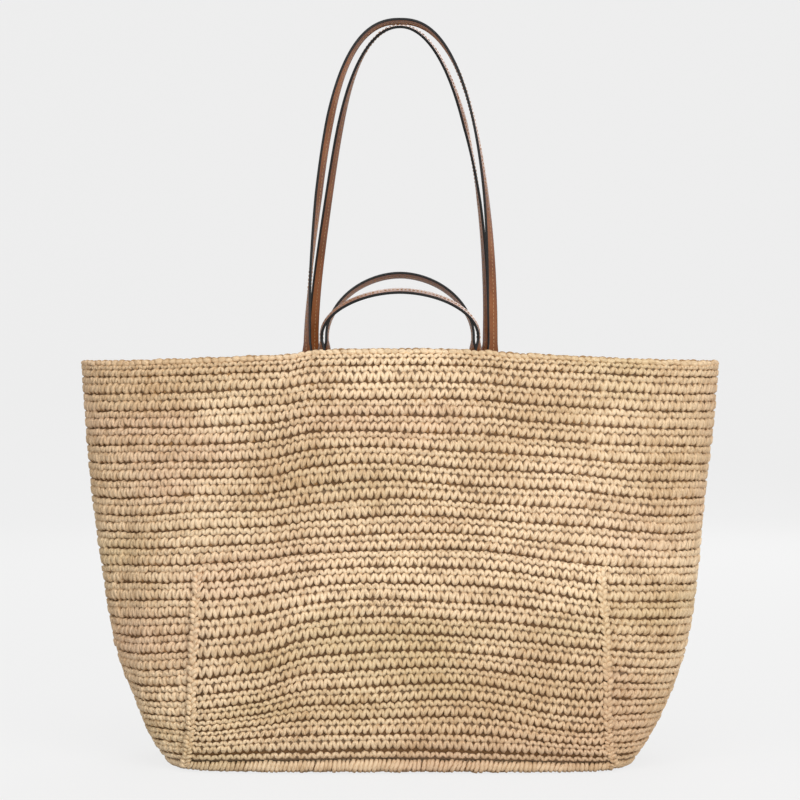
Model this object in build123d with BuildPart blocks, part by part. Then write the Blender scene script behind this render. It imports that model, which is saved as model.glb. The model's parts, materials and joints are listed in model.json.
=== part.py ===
"""Large crocheted beach bag with a front pocket, two shoulder straps and two hand straps.

The bag stands on its base with +Z up. Its front, which has the pocket, faces -Y. The origin is
the middle of the face that it rests on. All sizes are in millimetres.
"""
from build123d import *
import math
import os

# ------------------------------------------------------------------ the crocheted bag
rim_width = 600.0
rim_depth = 180.0
base_width = 428.0
base_depth = 186.0
rim_height = 386.0  # at the middle of the front and the back
rim_sag = 10.5  # how much lower the rim lies at the two side ends
flare_height = 85.0  # height in which the sides do most of their opening
upper_lean = 0.07  # outward lean of the sides where they reach the rim
belly = 6.0  # how far the front and the back swell at mid height
base_squareness = 5.0  # superellipse exponent of the plan: 2 is an ellipse
rim_squareness = 2.6
squareness_fade = 1.5
wall = 6.0  # thickness of the crochet
edging_height = 8.0
seam_height = 9.0
seam_thickness = 8.0
base_thickness = 6.0

# ------------------------------------------------------------------ the patch pocket
pocket_top_width = 367.0
pocket_bottom_width = 400.0
pocket_height = 204.0
pocket_gap = 6.0  # the space that things slide into
pocket_thickness = 4.5
pocket_border = 7.0

# ------------------------------------------------------------------ the leather straps
strap_width = 12.0
strap_thickness = 2.8
tape_width = 8.0  # reinforcement between the two plies
tape_thickness = 0.4
tape_clearance = 0.03
thread_width = 0.8
thread_proud = 0.35
long_leg_spacing = 168.0  # between the centres of a long strap's two legs
leg_clearance = 0.8  # between a long leg and the short leg beside it
hinge_height = 8.5  # bending line of the straps, above the rim
hinge_clearance = 3.4  # from the bending line to the start of the moving loop
tail_length = 70.0  # sewn part of a strap, below the rim
tail_clearance = 0.15
apex_clearance = 0.4  # between the tops of the two long straps
front_long_rise = 297.0  # from the bending line to the top of the loop
back_long_rise = 294.0
front_long_fullness = 2.4  # superellipse exponent of the loop: higher has wider shoulders
back_long_fullness = 2.05
front_short_rise = 43.0
back_short_rise = 63.0
short_fullness = 1.9
front_short_lean = -17.0  # degrees, outwards from upright
back_short_lean = -22.0
long_twist_length = 110.0  # in which a flat leg turns edge-on
short_twist_length = 38.0
long_stations = 40  # straight runs that make up a long loop
short_stations = 20

# ------------------------------------------------------------------ the anchor patches
patch_border = 5.0  # leather around the tails
patch_cover = 2.0  # leather over the tails
patch_top_drop = 10.0  # below the rim
patch_clearance = 0.15
patch_thread_inset = 2.0

# ------------------------------------------------------------------ shaping aids
outline_points = 32
form_head = 14.0  # how far the forms go on above the rim
form_levels = (0.0, 22.0, 60.0, 130.0, 250.0, rim_height + form_head)
rim_points = 17
reach = 400.0  # longer than any piece of the bag is deep
arc_samples = 600
lean_passes = 4

long_leg_x = long_leg_spacing / 2
short_leg_x = long_leg_x - strap_width - leg_clearance
hinge_z = rim_height + hinge_height
tail_grow = -(wall + tail_clearance)
tail_inner_grow = tail_grow - strap_thickness
patch_grow = tail_inner_grow - patch_clearance - patch_cover
thread_half = strap_thickness / 2 + thread_proud


# ------------------------------------------------------------------ the form of the bag
def half_width(z):
    """Half of the bag's width at height z: a quick flare, then a gentle lean."""
    opening = (rim_width - base_width) / 2 - upper_lean * rim_height
    full = 1 - math.exp(-rim_height / flare_height)
    return base_width / 2 + opening * (1 - math.exp(-z / flare_height)) / full + upper_lean * z


def half_depth(z):
    """Half of the bag's depth at height z, with the belly at mid height."""
    share = z / rim_height
    return base_depth / 2 + (rim_depth - base_depth) / 2 * share + belly * 4 * share * (1 - share)


def squareness(z):
    """Superellipse exponent of the plan at height z."""
    fade = max(0.0, 1 - z / rim_height) ** squareness_fade
    return rim_squareness + (base_squareness - rim_squareness) * fade


def outline(z, grow):
    """Points of the bag's closed outline at height z, moved outwards by grow."""
    power = 2 / squareness(z)
    points = []
    for step in range(outline_points):
        turn = 2 * math.pi * (step + 0.5) / outline_points
        across = math.copysign(abs(math.cos(turn)) ** power, math.cos(turn))
        deep = math.copysign(abs(math.sin(turn)) ** power, math.sin(turn))
        points.append(((half_width(z) + grow) * across, (half_depth(z) + grow) * deep))
    return points


def face_depth(x, z, grow):
    """Distance of the wall's face from the middle plane, beside x at height z."""
    share = abs(x) / (half_width(z) + grow)
    power = squareness(z)
    return (half_depth(z) + grow) * (1 - share ** power) ** (1 / power)


def rim_line(x, drop):
    """Height of the rim beside x, less a drop."""
    wave = (1 - math.cos(math.pi * min(1.0, abs(x) / (rim_width / 2)))) / 2
    return rim_height - rim_sag * wave - drop


def bag_form(grow):
    """Solid inside the bag's outline, moved outwards by grow."""
    with BuildPart() as form:
        for z in form_levels:
            with BuildSketch(Plane.XY.offset(z)):
                with BuildLine():
                    Spline(*outline(z, grow), periodic=True)
                make_face()
        loft()
    return form.part


def layer(outside, inside):
    """Closed layer of the wall between two forms."""
    with BuildPart() as shell:
        add(outside)
        add(inside, mode=Mode.SUBTRACT)
    return shell.part


def under_rim(bottom, drop):
    """Block through the bag from a flat bottom up to the rim line, less a drop."""
    edge = rim_width / 2 + reach / 4
    steps = [edge * (2 * step / (rim_points - 1) - 1) for step in range(rim_points)]
    crest = [(x, rim_line(x, drop)) for x in steps]
    with BuildPart() as block:
        with BuildSketch(Plane.XZ):
            with BuildLine():
                top = Spline(*crest)
                Polyline(top @ 1, (edge, bottom), (-edge, bottom), top @ 0)
            make_face()
        extrude(amount=reach, both=True)
    return block.part


def front_block(bottom, top, bottom_half, top_half):
    """Block through the front wall alone, with slanting sides."""
    with BuildPart() as block:
        with BuildSketch(Plane.XZ):
            with BuildLine():
                Polyline(
                    (-bottom_half, bottom),
                    (bottom_half, bottom),
                    (top_half, top),
                    (-top_half, top),
                    close=True,
                )
            make_face()
        extrude(amount=reach)
    return block.part


def side_block(x_low, x_high, z_low, z_high, front):
    """Upright block through the front or the back wall."""
    middle = ((x_low + x_high) / 2, (z_low + z_high) / 2)
    with BuildPart() as block:
        with BuildSketch(Plane.XZ):
            with Locations(middle):
                Rectangle(x_high - x_low, z_high - z_low)
        extrude(amount=reach if front else -reach)
    return block.part


outer_form = bag_form(0.0)
inner_form = bag_form(-wall)
seam_form = bag_form(-seam_thickness)
pocket_inner_form = bag_form(pocket_gap)
pocket_outer_form = bag_form(pocket_gap + pocket_thickness)
tail_outer_form = bag_form(tail_grow)
tail_inner_form = bag_form(tail_inner_grow)
patch_form = bag_form(patch_grow)
patch_thread_form = bag_form(patch_grow - thread_proud)

os.makedirs("parts", exist_ok=True)


def save(node, name):
    """Label a finished piece and write it under its node's name."""
    node.part.label = name
    export_step(node.part, f"parts/{name}.step")


# ------------------------------------------------------------------ base, wall and rim
with BuildPart() as base_panel:
    add(seam_form)
    add(under_rim(base_thickness, -reach), mode=Mode.SUBTRACT)
save(base_panel, "base_panel")

with BuildPart() as base_seam:
    add(layer(outer_form, seam_form))
    add(under_rim(seam_height, -reach), mode=Mode.SUBTRACT)
save(base_seam, "base_seam")

with BuildPart() as body_wall:
    add(layer(outer_form, inner_form))
    add(under_rim(seam_height, edging_height), mode=Mode.INTERSECT)
save(body_wall, "body_wall")

with BuildPart() as rim_edging:
    add(layer(outer_form, inner_form))
    add(under_rim(seam_height, 0.0), mode=Mode.INTERSECT)
    add(under_rim(0.0, edging_height), mode=Mode.SUBTRACT)
save(rim_edging, "rim_edging")


# ------------------------------------------------------------------ the patch pocket
def pocket_half(z):
    """Half of the pocket's width at height z."""
    share = (z - seam_height) / (pocket_height - seam_height)
    return (pocket_bottom_width + (pocket_top_width - pocket_bottom_width) * share) / 2


def pocket_block(bottom, top, inset):
    """Block through the pocket between two heights, inset from its sides."""
    return front_block(bottom, top, pocket_half(bottom) - inset, pocket_half(top) - inset)


panel_bottom = seam_height + pocket_border
panel_top = pocket_height - pocket_border

with BuildPart() as pocket_panel:
    add(layer(pocket_outer_form, pocket_inner_form))
    add(pocket_block(panel_bottom, panel_top, pocket_border), mode=Mode.INTERSECT)
save(pocket_panel, "pocket_panel")

with BuildPart() as pocket_top_edging:
    add(layer(pocket_outer_form, pocket_inner_form))
    add(pocket_block(panel_top, pocket_height, pocket_border), mode=Mode.INTERSECT)
save(pocket_top_edging, "pocket_top_edging")

with BuildPart() as pocket_bottom_seam:
    add(layer(pocket_outer_form, outer_form))
    add(pocket_block(seam_height, panel_bottom, pocket_border), mode=Mode.INTERSECT)
save(pocket_bottom_seam, "pocket_bottom_seam")

with BuildPart() as pocket_sides:
    add(layer(pocket_outer_form, outer_form))
    add(pocket_block(seam_height, pocket_height, 0.0), mode=Mode.INTERSECT)
    add(pocket_block(seam_height, pocket_height, pocket_border), mode=Mode.SUBTRACT)

with BuildPart() as pocket_left_edging:
    add(pocket_sides.solids().sort_by(Axis.X)[0])
save(pocket_left_edging, "pocket_left_edging")

with BuildPart() as pocket_right_edging:
    add(pocket_sides.solids().sort_by(Axis.X)[-1])
save(pocket_right_edging, "pocket_right_edging")


# ------------------------------------------------------------------ the moving strap loops
def loop_route(half_span, rise, fullness):
    """Points of a loop in its own plane, from the right leg over the top to the left leg."""
    power = 2 / fullness
    route = []
    for step in range(arc_samples + 1):
        turn = math.pi * step / arc_samples
        across = math.copysign(abs(math.cos(turn)) ** power, math.cos(turn))
        up = abs(math.sin(turn)) ** power
        route.append((half_span * across, hinge_clearance + (rise - hinge_clearance) * up))
    return route


def loop_places(route, count):
    """Evenly spaced places on the loop: position, direction and distance from the start."""
    travelled = [0.0]
    for before, after in zip(route, route[1:]):
        travelled.append(travelled[-1] + math.dist(before, after))
    places = []
    index = 0
    for number in range(count + 1):
        goal = travelled[-1] * number / count
        while index < len(route) - 2 and travelled[index + 1] < goal:
            index += 1
        here, there = Vector(*route[index]), Vector(*route[index + 1])
        share = (goal - travelled[index]) / (travelled[index + 1] - travelled[index])
        places.append((here + (there - here) * share, (there - here).normalized(), goal))
    places[0] = (places[0][0], Vector(0, 1), places[0][2])
    places[-1] = (places[-1][0], Vector(0, -1), places[-1][2])
    return places


def hinge_depth(leg_x):
    """Distance of a strap's bending line from the middle plane."""
    return face_depth(leg_x, hinge_z, tail_grow - strap_thickness / 2)


def loop_planes(side, half_span, rise, fullness, lean, twist_length, stations):
    """Planes of a loop's sections: X lies across the strap and Y points out of its outer face."""
    tilt = math.radians(lean)
    upward = Vector(0, -side * math.sin(tilt), math.cos(tilt))
    forward = Vector(1, 0, 0).cross(upward)
    hinge = Vector(0, side * hinge_depth(half_span), hinge_z)
    places = loop_places(loop_route(half_span, rise / math.cos(tilt), fullness), stations)
    length = places[-1][2]
    planes = []
    for position, direction, travelled in places:
        share = min(1.0, min(travelled, length - travelled) / twist_length)
        turned = math.pi / 2 * share * share * (3 - 2 * share)
        travel = Vector(direction.X, 0, 0) + upward * direction.Y
        outward = travel.cross(forward)
        face = outward * math.sin(turned) + forward * (-side * math.cos(turned))
        origin = hinge + Vector(position.X, 0, 0) + upward * position.Y
        planes.append(Plane(origin=origin, x_dir=face.cross(travel), z_dir=travel))
    return planes


def loop_solid(planes, profile):
    """Solid of one closed profile carried along the loop, in flat facets."""
    rings = [[plane.from_local_coords(Vector(*point)) for point in profile] for plane in planes]
    facets = [Face(Wire.make_polygon(rings[0])), Face(Wire.make_polygon(rings[-1]))]
    for here, there in zip(rings, rings[1:]):
        for first in range(len(profile)):
            last = (first + 1) % len(profile)
            low, high = sorted((first, last), key=lambda corner: profile[corner])
            facets.append(Face(Wire.make_polygon([here[low], here[high], there[high]])))
            facets.append(Face(Wire.make_polygon([here[low], there[high], there[low]])))
    return Solid(Shell(facets))


def box_profile(half_across, low, high):
    """Rectangle across the strap between two depths."""
    return [(-half_across, low), (half_across, low), (half_across, high), (-half_across, high)]


def ply_profile(facing):
    """Half of the strap's thickness, with the channel for the tape, on one side of the middle."""
    edge = strap_width / 2
    channel = tape_width / 2 + tape_clearance
    floor = facing * (tape_thickness / 2 + tape_clearance)
    skin = facing * strap_thickness / 2
    seat = thread_width / 2  # corners under the thread keep its seat as twisted as it is
    return [
        (-edge, 0),
        (-channel, 0),
        (-channel, floor),
        (channel, floor),
        (channel, 0),
        (edge, 0),
        (edge, skin),
        (seat, skin),
        (-seat, skin),
        (-edge, skin),
    ]


def tail_blocks(leg_x, half, bottom, top, side):
    """Blocks through one wall, around the two tails of a strap."""
    with BuildPart() as blocks:
        add(side_block(leg_x - half, leg_x + half, bottom, top, side < 0))
        mirror(about=Plane.YZ)
    return blocks.part


def save_strap(name, side, leg_x, rise, fullness, lean, twist_length, stations):
    """Make the loop and the sewn tails of one strap."""
    planes = loop_planes(side, leg_x, rise, fullness, lean, twist_length, stations)
    with BuildPart() as outer_ply:
        add(loop_solid(planes, ply_profile(1)))
    save(outer_ply, f"{name}_outer_ply")

    with BuildPart() as inner_ply:
        add(loop_solid(planes, ply_profile(-1)))
    save(inner_ply, f"{name}_inner_ply")

    with BuildPart() as tape:
        add(loop_solid(planes, box_profile(tape_width / 2, -tape_thickness / 2, tape_thickness / 2)))
    save(tape, f"{name}_tape")

    skin = strap_thickness / 2
    with BuildPart() as thread:
        add(loop_solid(planes, box_profile(thread_width / 2, skin, thread_half)))
        add(loop_solid(planes, box_profile(thread_width / 2, -thread_half, -skin)))
    save(thread, f"{name}_thread")

    bottom = rim_line(leg_x, tail_length)
    half = strap_width / 2
    with BuildPart() as tails:
        add(layer(tail_outer_form, tail_inner_form))
        add(tail_blocks(leg_x, half, bottom, hinge_z, side), mode=Mode.INTERSECT)
    save(tails, f"{name}_tails")


def lean_to_middle(rise):
    """Lean that brings the top of a long loop against the other long loop."""
    depth = hinge_depth(long_leg_x)
    lean = 0.0
    for _ in range(lean_passes):
        corner = strap_width / 2 * math.cos(lean) + thread_half * math.sin(lean)
        lean = math.atan2(depth - corner - apex_clearance / 2, rise)
    return math.degrees(lean)


for place, side, rise, fullness in (
    ("front", -1, front_long_rise, front_long_fullness),
    ("back", 1, back_long_rise, back_long_fullness),
):
    lean = lean_to_middle(rise)
    save_strap(
        f"long_strap_{place}", side, long_leg_x, rise, fullness, lean, long_twist_length, long_stations
    )

for place, side, rise, lean in (
    ("front", -1, front_short_rise, front_short_lean),
    ("back", 1, back_short_rise, back_short_lean),
):
    save_strap(
        f"short_strap_{place}",
        side,
        short_leg_x,
        rise,
        short_fullness,
        lean,
        short_twist_length,
        short_stations,
    )

# ------------------------------------------------------------------ the anchor patches
patch_inner_x = short_leg_x - strap_width / 2 - patch_border
patch_outer_x = long_leg_x + strap_width / 2 + patch_border
patch_bottom = rim_line(long_leg_x, tail_length) - patch_border
patch_top = rim_line(long_leg_x, patch_top_drop)
patch_seat_form = bag_form(tail_inner_grow - patch_clearance)
seat_half = strap_width / 2 + patch_clearance
seat_bottom = rim_line(long_leg_x, tail_length) - patch_clearance


def patch_block(inset, side):
    """Block through one wall, around the patch of the two right-hand tails, less an inset."""
    return side_block(
        patch_inner_x + inset,
        patch_outer_x - inset,
        patch_bottom + inset,
        patch_top - inset,
        side < 0,
    )


for place, side in (("front", -1), ("back", 1)):
    with BuildPart() as patches:
        add(layer(tail_outer_form, patch_form))
        add(patch_block(0.0, side), mode=Mode.INTERSECT)
    with BuildPart() as seats:
        add(layer(tail_outer_form, patch_seat_form))
        add(tail_blocks(long_leg_x, seat_half, seat_bottom, hinge_z, side), mode=Mode.INTERSECT)
    with BuildPart() as short_seats:
        add(layer(tail_outer_form, patch_seat_form))
        add(tail_blocks(short_leg_x, seat_half, seat_bottom, hinge_z, side), mode=Mode.INTERSECT)
    with BuildPart() as right_patch:
        add(patches.part)
        add(seats.part, mode=Mode.SUBTRACT)
        add(short_seats.part, mode=Mode.SUBTRACT)
    save(right_patch, f"anchor_patch_{place}_right")

    with BuildPart() as left_patch:
        add(right_patch.part)
        mirror(about=Plane.YZ, mode=Mode.REPLACE)
    save(left_patch, f"anchor_patch_{place}_left")

    with BuildPart() as right_thread:
        add(layer(patch_form, patch_thread_form))
        add(patch_block(patch_thread_inset, side), mode=Mode.INTERSECT)
        add(patch_block(patch_thread_inset + thread_width, side), mode=Mode.SUBTRACT)
    save(right_thread, f"anchor_thread_{place}_right")

    with BuildPart() as left_thread:
        add(right_thread.part)
        mirror(about=Plane.YZ, mode=Mode.REPLACE)
    save(left_thread, f"anchor_thread_{place}_left")
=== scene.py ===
"""Looks of a large crocheted beach bag: yarn stitches, leather straps, thread, light and camera."""
import json
import math

import bmesh
import bpy
import numpy as np
from mathutils import Matrix, Vector


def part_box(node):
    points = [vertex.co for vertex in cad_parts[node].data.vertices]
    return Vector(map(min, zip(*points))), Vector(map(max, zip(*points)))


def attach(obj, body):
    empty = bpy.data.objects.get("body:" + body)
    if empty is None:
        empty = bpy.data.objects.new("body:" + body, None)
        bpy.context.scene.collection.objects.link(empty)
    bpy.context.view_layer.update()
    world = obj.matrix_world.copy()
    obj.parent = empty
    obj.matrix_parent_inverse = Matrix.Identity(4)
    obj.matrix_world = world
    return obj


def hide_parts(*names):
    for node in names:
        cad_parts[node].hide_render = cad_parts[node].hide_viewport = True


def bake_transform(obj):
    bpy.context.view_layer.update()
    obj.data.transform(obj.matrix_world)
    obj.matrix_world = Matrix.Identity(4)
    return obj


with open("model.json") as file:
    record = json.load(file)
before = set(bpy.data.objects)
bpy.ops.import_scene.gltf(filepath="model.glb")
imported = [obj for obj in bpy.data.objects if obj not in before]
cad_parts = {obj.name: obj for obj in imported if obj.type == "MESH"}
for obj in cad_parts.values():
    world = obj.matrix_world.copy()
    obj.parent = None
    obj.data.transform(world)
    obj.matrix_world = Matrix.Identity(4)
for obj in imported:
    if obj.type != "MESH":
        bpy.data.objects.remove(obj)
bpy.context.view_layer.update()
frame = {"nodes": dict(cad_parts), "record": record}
random = np.random.default_rng(7)
MM = 0.001

# ------------------------------------------------------------------ sizes of the bag, in metres
RIM_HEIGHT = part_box("rim_edging")[1].z
RIM_HALF_WIDTH = 0.300
RIM_HALF_DEPTH = 0.090
BASE_HALF_WIDTH = 0.214
BASE_HALF_DEPTH = 0.093
FLARE_HEIGHT = 0.085
UPPER_LEAN = 0.07
BELLY = 0.006
BASE_SQUARENESS = 5.0
RIM_SQUARENESS = 2.6
SQUARENESS_FADE = 1.5
WALL = 0.006
SEAM_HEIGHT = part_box("base_seam")[1].z
POCKET_OUT = 0.0105  # how far its face stands off the wall
POCKET_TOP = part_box("pocket_top_edging")[1].z
POCKET_TOP_HALF = 0.1835
POCKET_BOTTOM_HALF = 0.200

# ------------------------------------------------------------------ sizes of the crochet
STITCH = 6.9 * MM  # from one stitch to the next
BANDS = 23  # a band is two rows: small vees over slanted legs
FIRST_FURROW = 22.7 * MM
LAST_FURROW = 370.7 * MM
BAND = (LAST_FURROW - FIRST_FURROW) / BANDS
LOW_ROW = FIRST_FURROW - BAND - 1.2 * MM  # the row of vees on the base's round
SIDE_DROOP = 21.0 * MM  # how much lower a row lies at the side ends, at most
DROOP_HEIGHT = 0.150  # where it is lowest
BACKING = -3.4 * MM  # how deep the furrows are
RIB = 1.2 * MM  # how far the yarn under a band stands out of the furrows
# The straps hold the wall up, so a share of the droop comes at once beside them.
LEFT_SHOULDER = 0.34
RIGHT_SHOULDER = 0.12
SHOULDER_START = 0.076
SHOULDER_END = 0.135  # at mid height
RIM_SHOULDER_END = 0.104
RIM_SHOULDER_LEVEL = 0.25  # it is reached sooner from this level up
SHOULDER_LEVELS = (0.12, 0.30)  # the shoulders fade in between these levels
ROW_WAVE = 1.1 * MM  # how far a row wanders up and down
DENT = 1.2 * MM  # how far the wall is dented in and out
CALM_BASE = 0.06  # near the base and the rim the rows run straight
CALM_RIM = 0.14
CREASE_X = -0.255  # a soft upright fold near the left end of the front
CREASE_WIDTH = 0.013
CREASE_DEPTH = 0.0045
CREASE_TOP = 0.31
CREASE_FADE = 0.08
TOP_GAP = 4.6 * MM  # between the last band and the rim
RIM_DROP = 2.9 * MM  # from the rim to the middle of its braid
RIM_PITCH = 6.6 * MM
INNER_PITCH = 7.6 * MM  # of the plainer stitches inside the wall
FAT_LEVEL = 7.4 * MM  # middle of the fat round at the base
FAT_PITCH = 8.0 * MM
BASE_ROUNDS = 13
BASE_INSET = 7.0 * MM  # of the first round on the base from its edge
ROUND_PITCH = 8.0 * MM
ROUNDS_UNDER = 1.4 * MM  # heights of the base's two faces
ROUNDS_INSIDE = 5.6 * MM
BASE_BACKING = (4.0 * MM, 2.6 * MM, 1.8 * MM)  # inset, height and thickness
WALL_GRID = (230, 138)
POCKET_GRID = (120, 78)
KNOB_PITCH = 5.2 * MM  # of the chains up the sides of the pocket
CHAIN_SPREAD = 1.9 * MM
CHAIN_INSET = 2.0 * MM
CHAIN_LIFT = 0.8 * MM
POCKET_EDGE = 0.018  # how wide the pocket's curve to the wall is
POCKET_EDGE_OUT = 0.3  # what stays of its height there, as a share
POCKET_LEAN = 0.4  # how much its mouth leans in, as a share
POCKET_LEAN_HEIGHT = 0.045
WRINKLE_DOWN = 10.5 * MM  # how far the pocket's rows are pulled down at its lower left
WRINKLE_UP = 4.5 * MM  # how far the rows below are pushed up against them
WRINKLE_DOWN_AT = (0.105, 0.042)  # level and spread
WRINKLE_UP_AT = (0.034, 0.024)

# ------------------------------------------------------------------ looseness of the stitches
LOOSE_TURN = 0.11  # spread of a stitch's turn, in radians
LOOSE_SIZE = 0.07  # spread of its size, as a share
LOOSE_SHIFT = np.array((0.35, 0.3, 0.3))  # spread of its place, in millimetres
LOOSE_LIMIT = 1.8  # the most, as a multiple of the spread


# ------------------------------------------------------------------ the form of the bag
def half_width(z):
    """Half of the bag's width at height z: a quick flare, then a gentle lean."""
    opening = RIM_HALF_WIDTH - BASE_HALF_WIDTH - UPPER_LEAN * RIM_HEIGHT
    full = 1 - math.exp(-RIM_HEIGHT / FLARE_HEIGHT)
    return BASE_HALF_WIDTH + opening * (1 - np.exp(-z / FLARE_HEIGHT)) / full + UPPER_LEAN * z


def half_depth(z):
    """Half of the bag's depth at height z, with the belly at mid height."""
    share = z / RIM_HEIGHT
    straight = BASE_HALF_DEPTH + (RIM_HALF_DEPTH - BASE_HALF_DEPTH) * share
    return straight + BELLY * 4 * share * (1 - share)


def squareness(z):
    """Superellipse exponent of the plan at height z."""
    fade = np.clip(1 - z / RIM_HEIGHT, 0, 1) ** SQUARENESS_FADE
    return RIM_SQUARENESS + (BASE_SQUARENESS - RIM_SQUARENESS) * fade


def outline(turn, z, out):
    """Place on the bag's outline in the direction turn, moved outwards."""
    power = squareness(z)
    reach = (np.abs(np.cos(turn)) ** power + np.abs(np.sin(turn)) ** power) ** (-1 / power)
    x = (half_width(z) + out) * np.cos(turn) * reach
    y = (half_depth(z) + out) * np.sin(turn) * reach
    return x, y


def face_depth(x, z, out):
    """Distance of the wall's face from the middle plane, beside x at height z."""
    power = squareness(z)
    share = np.clip(np.abs(x) / (half_width(z) + out), 0, 1)
    return (half_depth(z) + out) * (1 - share ** power) ** (1 / power)


def droop(level):
    """How much lower a row lies at the side ends than at the middle."""
    return SIDE_DROOP * level / DROOP_HEIGHT * np.exp(1 - level / DROOP_HEIGHT)


def smooth_step(low, high, value):
    """0 below low, 1 above high, and smooth between."""
    share = np.clip((value - low) / (high - low), 0, 1)
    return share * share * (3 - 2 * share)


class Waves:
    """Smooth irregularity over the bag: a sum of slow waves with seeded directions."""

    def __init__(self, count, low, high):
        self.speeds = random.uniform(low, high, (count, 3)) * random.choice((-1, 1), (count, 3))
        self.starts = random.uniform(0, 2 * math.pi, count)

    def __call__(self, x, y, z):
        total = np.zeros_like(x)
        for speed, start in zip(self.speeds, self.starts):
            total += np.sin(x * speed[0] + y * speed[1] + z * speed[2] + start)
        return total * math.sqrt(2 / len(self.starts))


row_waves = Waves(8, 10.0, 55.0)
dent_waves = Waves(6, 6.0, 30.0)


def wrap_turn(turn, level, out):
    """Places on the bag of points given by direction, level above the base and out."""
    x, y = outline(turn, level, out)
    below_rim = RIM_HEIGHT + 0.01 - level
    calm = smooth_step(0.0, CALM_BASE, level) * smooth_step(0.0, CALM_RIM, below_rim)
    side = (1 - np.cos(math.pi * np.clip(np.abs(x) / half_width(level), 0, 1))) / 2
    shoulder = np.where(x < 0, LEFT_SHOULDER, RIGHT_SHOULDER) * smooth_step(*SHOULDER_LEVELS, level)
    near_rim = smooth_step(RIM_SHOULDER_LEVEL, RIM_HEIGHT, level)
    reach = SHOULDER_END + (RIM_SHOULDER_END - SHOULDER_END) * near_rim
    side = (1 - shoulder) * side + shoulder * smooth_step(SHOULDER_START, reach, np.abs(x))
    z = level - droop(np.maximum(level, 0)) * side + ROW_WAVE * calm * row_waves(x, y, level)
    crease = np.exp(-(((x - CREASE_X) / CREASE_WIDTH) ** 2))
    crease = crease * smooth_step(0.0, CREASE_FADE, CREASE_TOP - level)
    bulge = DENT * calm * dent_waves(x, y, level) - CREASE_DEPTH * crease * (y < 0)
    x, y = outline(turn, np.maximum(z, 0), out + bulge)
    return np.stack((x, y, z), axis=1)


def wrap_round(share, level, out, ride_level):
    """Places on the bag of points given by share of the round, level above the base and out."""
    turns = np.linspace(0, 2 * math.pi, 1441)
    line_x, line_y = outline(turns, ride_level, 0.0)
    travelled = np.concatenate(([0.0], np.cumsum(np.hypot(np.diff(line_x), np.diff(line_y)))))
    return wrap_turn(np.interp(share % 1.0, travelled / travelled[-1], turns), level, out)


def wrap_front(x, level, out):
    """Places on the front of the bag of points given by x, level above the base and out."""
    depth_share = -face_depth(x, level, out) / (half_depth(level) + out)
    return wrap_turn(np.arctan2(depth_share, x / (half_width(level) + out)), level, out)


def perimeter(level, out=0.0):
    """Length of the bag's outline at a level."""
    line_x, line_y = outline(np.linspace(0, 2 * math.pi, 721), level, out)
    return np.hypot(np.diff(line_x), np.diff(line_y)).sum()


# ------------------------------------------------------------------ yarn, drawn along a path
def ring_edges(ring):
    """Edges between the points of a ring, in a fixed order."""
    inside = set(ring)
    return list(dict.fromkeys(e for v in ring for e in v.link_edges if inside.issuperset(e.verts)))


def add_yarn(bm, path, radii, sides, thin):
    """Adds a closed strand of yarn along a path, and notes the strand's own coordinates."""
    layers = bm.verts.layers.float_vector
    yarn = layers.get("yarn") or layers.new("yarn")
    points = [Vector(point) for point in path]
    places = []
    for index, point in enumerate(points):
        ahead = (points[min(index + 1, len(points) - 1)] - points[max(index - 1, 0)]).normalized()
        across = ahead.cross(Vector((0, 0, 1))).normalized()
        turn = Matrix((across, ahead.cross(across), ahead)).transposed().to_4x4()
        size = Matrix.Diagonal((radii[index], radii[index] * thin, radii[index], 1))
        places.append(Matrix.Translation(point) @ turn @ size)
    ring = bmesh.ops.create_circle(
        bm, cap_ends=True, radius=1.0, segments=sides, matrix=places[0]
    )["verts"]
    travelled = 0.0
    for index, place in enumerate(places):
        if index:
            made = bmesh.ops.extrude_edge_only(bm, edges=ring_edges(ring))["geom"]
            ring = [item for item in made if isinstance(item, bmesh.types.BMVert)]
            bmesh.ops.transform(bm, matrix=place @ places[index - 1].inverted(), verts=ring)
            travelled += (points[index] - points[index - 1]).length
        back = place.inverted()
        for vert in ring:
            local = back @ vert.co
            vert[yarn] = (travelled, local.x * radii[index], local.y * radii[index])
    bmesh.ops.edgeloop_fill(bm, edges=ring_edges(ring))


def stitch_mesh(name, *strands):
    """Mesh of one stitch, made of strands. Strands are in millimetres, the mesh in metres."""
    bm = bmesh.new()
    for path, radii, sides, thin in strands:
        add_yarn(bm, path, radii, sides, thin)
    bmesh.ops.recalc_face_normals(bm, faces=bm.faces)
    bmesh.ops.scale(bm, vec=(MM, MM, MM), verts=bm.verts)
    mesh = bpy.data.meshes.new(name)
    bm.to_mesh(mesh)
    bm.free()
    return mesh


# Each strand is its path, radii, number of sides and how thin it is outwards. In a stitch, X runs
# along the row, Y up the bag and Z out of it. The wall's outer face is at Z 0.
VEE_LEFT = (
    [(-3.7, 14.2, -3.1), (-2.5, 13.3, -1.6), (-0.9, 11.0, -1.4), (-0.1, 9.7, -2.8)],
    (1.5, 2.15, 2.0, 1.1),
    5,
    0.85,
)
VEE_RIGHT = (
    [(3.7, 14.4, -3.0), (2.5, 13.4, -1.4), (1.1, 11.0, -1.3), (0.4, 9.5, -2.7)],
    (1.5, 2.2, 2.0, 1.1),
    5,
    0.85,
)
ARCH_LEFT = (
    [(-3.4, 1.5, -2.8), (-2.6, 3.6, -1.5), (-1.5, 6.6, -1.2), (-0.4, 9.4, -2.3)],
    (1.8, 2.3, 2.1, 1.6),
    5,
    0.9,
)
ARCH_RIGHT = (
    [(3.5, 1.7, -2.8), (2.6, 3.8, -1.4), (1.5, 6.8, -1.2), (0.5, 9.5, -2.4)],
    (1.8, 2.3, 2.0, 1.6),
    5,
    0.9,
)
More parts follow.
